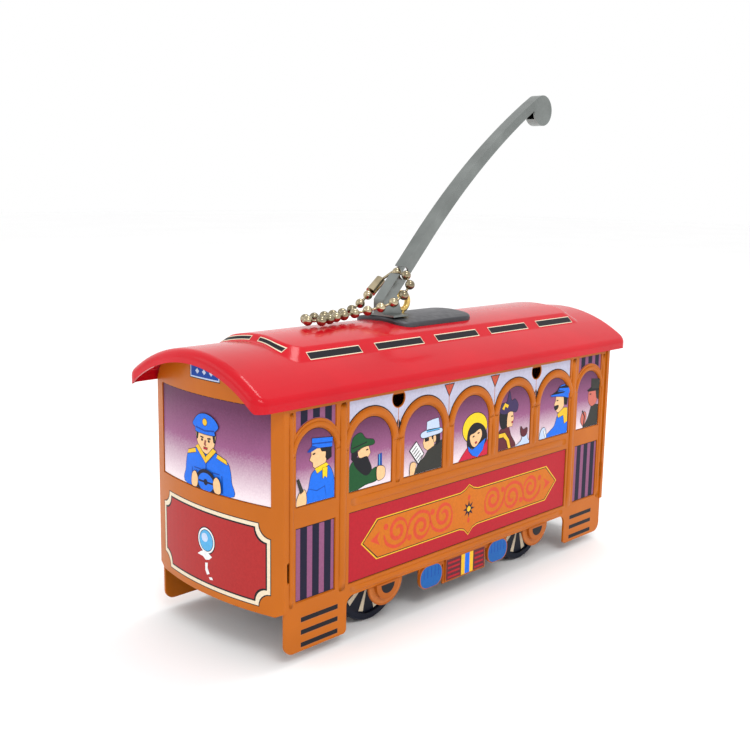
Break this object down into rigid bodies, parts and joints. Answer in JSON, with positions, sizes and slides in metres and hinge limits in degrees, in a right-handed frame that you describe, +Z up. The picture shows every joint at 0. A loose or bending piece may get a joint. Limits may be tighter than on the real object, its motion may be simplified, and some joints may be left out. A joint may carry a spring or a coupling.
{
  "type": "wind-up tin tram",
  "caption": "Lithographed tin tram with a bowed front, arched windows, a red roof with trolley pole and chain, and a clockwork motor wound by a key.",
  "frame": {"origin": "on the plane the wheels stand on, below the middle of the tram's body", "axes": "+Z up, -Y towards the driver's end, +X towards the side without the key"},
  "size_m": [0.063, 0.1356, 0.1246],
  "materials": {
    "orange_litho": "gloss",
    "red_enamel": "gloss",
    "dark_steel": "satin",
    "pole_tinplate": "satin",
    "bright_wire": "polished",
    "ball_chain": "polished",
    "grey_steel": "satin",
    "truck_litho": "gloss",
    "wheel_litho": "gloss",
    "axle_steel": "satin",
    "motor_steel": "satin",
    "spring_steel": "satin",
    "gear_brass": "satin",
    "key_steel": "satin"
  },
  "bodies": {
    "tram": {"side_panel_right": "orange_litho", "side_panel_left": "orange_litho", "front_panel": "orange_litho", "rear_panel": "orange_litho", "roof_shell": "red_enamel", "pole_base_plate": "dark_steel", "trolley_pole": "pole_tinplate", "hanger_eye": "bright_wire", "ball_chain": "ball_chain", "chain_connector": "bright_wire", "chassis_frame": "grey_steel", "truck_side_right": "truck_litho", "truck_side_left": "truck_litho", "motor_plate_left": "motor_steel", "motor_plate_right": "motor_steel", "motor_pillars": "axle_steel", "chassis_rivets": "axle_steel", "mainspring": "spring_steel"},
    "front_wheelset": {"front_axle": "axle_steel", "front_wheel_right": "wheel_litho", "front_wheel_left": "wheel_litho"},
    "rear_wheelset": {"rear_axle": "axle_steel", "rear_wheel_right": "wheel_litho", "rear_wheel_left": "wheel_litho", "drive_pinion": "gear_brass"},
    "intermediate": {"intermediate_staff": "axle_steel", "intermediate_pinion": "gear_brass", "intermediate_wheel": "gear_brass"},
    "great_wheel_body": {"great_wheel": "gear_brass", "click_stud": "axle_steel", "click_spring": "spring_steel"},
    "click_body": {"click": "axle_steel"},
    "winding": {"winding_arbor": "axle_steel", "ratchet_wheel": "axle_steel", "winding_key": "key_steel"}
  },
  "joints": [
    {"name": "front_axle_spin", "type": "hinge", "parent": "tram", "child": "front_wheelset", "pos_m": [0, -0.029, 0.01], "axis": [1, 0, 0], "continuous": true},
    {"name": "rear_axle_spin", "type": "hinge", "parent": "tram", "child": "rear_wheelset", "pos_m": [0, 0.029, 0.01], "axis": [1, 0, 0], "continuous": true},
    {"name": "intermediate_spin", "type": "hinge", "parent": "tram", "child": "intermediate", "pos_m": [0, 0.02182, 0.01962], "axis": [1, 0, 0], "continuous": true},
    {"name": "great_wheel_spin", "type": "hinge", "parent": "tram", "child": "great_wheel_body", "pos_m": [0, 0.008, 0.024], "axis": [1, 0, 0], "continuous": true},
    {"name": "key_winding", "type": "hinge", "parent": "tram", "child": "winding", "pos_m": [0, 0.008, 0.024], "axis": [1, 0, 0], "continuous": true},
    {"name": "click_lift", "type": "hinge", "parent": "great_wheel_body", "child": "click_body", "pos_m": [0.0047, 0.00949, 0.03247], "axis": [-1, 0, 0], "range_deg": [0, 11]}
  ],
  "couplings": [
    {"joint": "intermediate_spin", "follows": "rear_axle_spin", "ratio": -0.33333},
    {"joint": "great_wheel_spin", "follows": "rear_axle_spin", "ratio": 0.069444}
  ]
}
